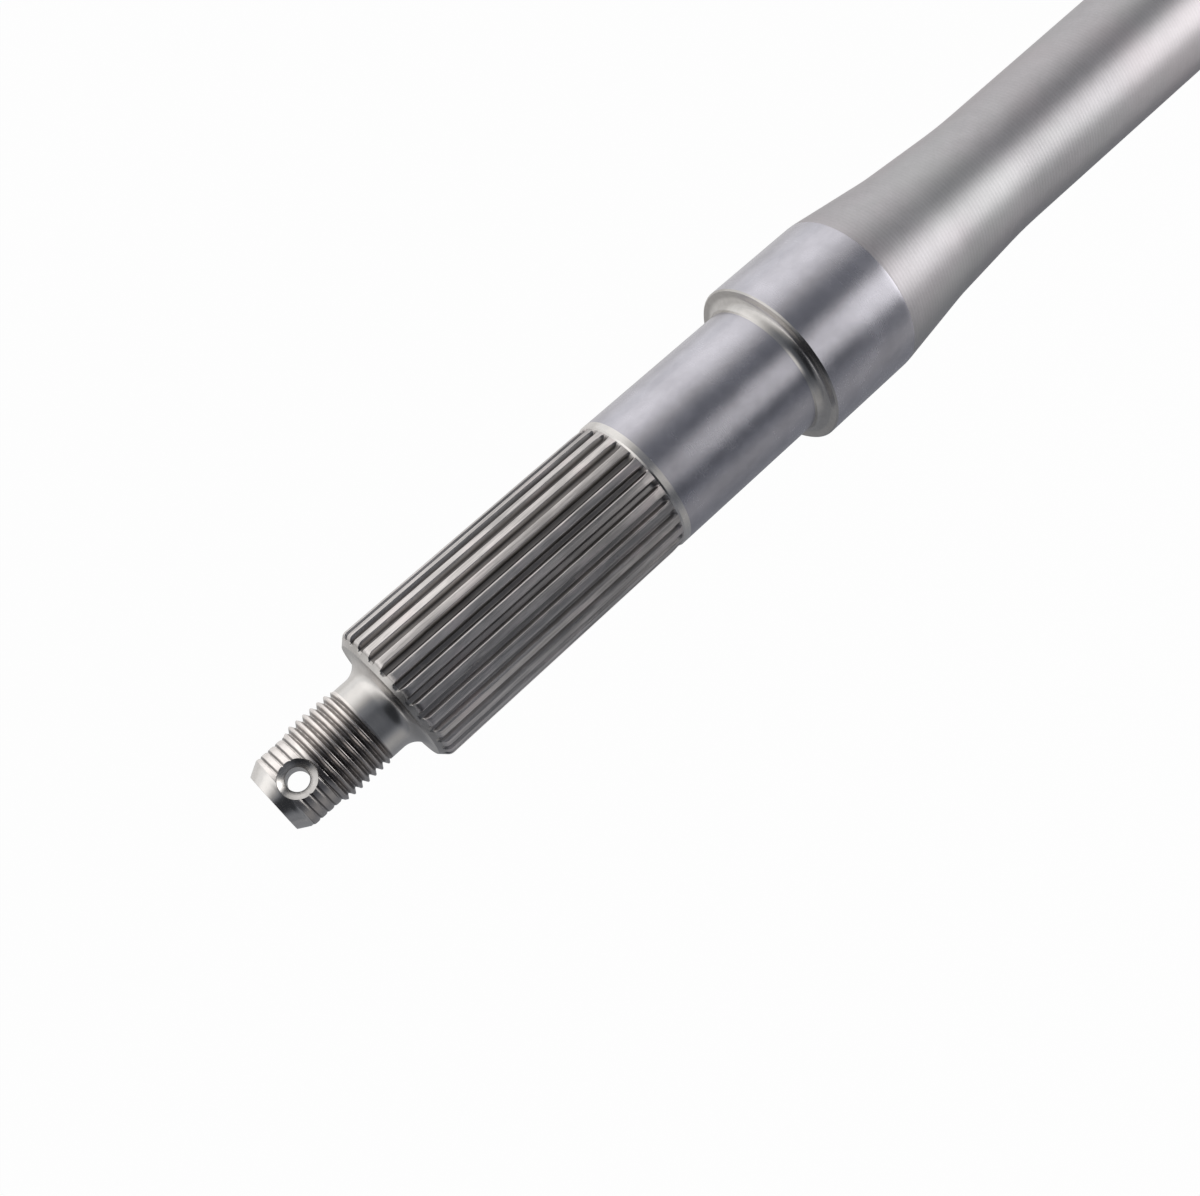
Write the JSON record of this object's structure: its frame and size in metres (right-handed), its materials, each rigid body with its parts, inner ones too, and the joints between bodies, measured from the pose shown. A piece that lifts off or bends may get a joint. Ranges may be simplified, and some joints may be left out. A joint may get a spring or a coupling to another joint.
{
  "type": "rear wheel axle",
  "caption": "Solid one-piece rear wheel axle with threaded, splined ends, ground hub and bearing seats and tapered shaft.",
  "frame": {"origin": "middle of the axle's length, on its axis", "axes": "+Y along the axle towards the left wheel, +Z along the split-pin holes (up), +X forwards"},
  "size_m": [0.035, 0.82, 0.035],
  "materials": {
    "steel": "turned and ground steel, uncoated"
  },
  "bodies": {
    "root": {"axle": "steel"}
  },
  "joints": []
}
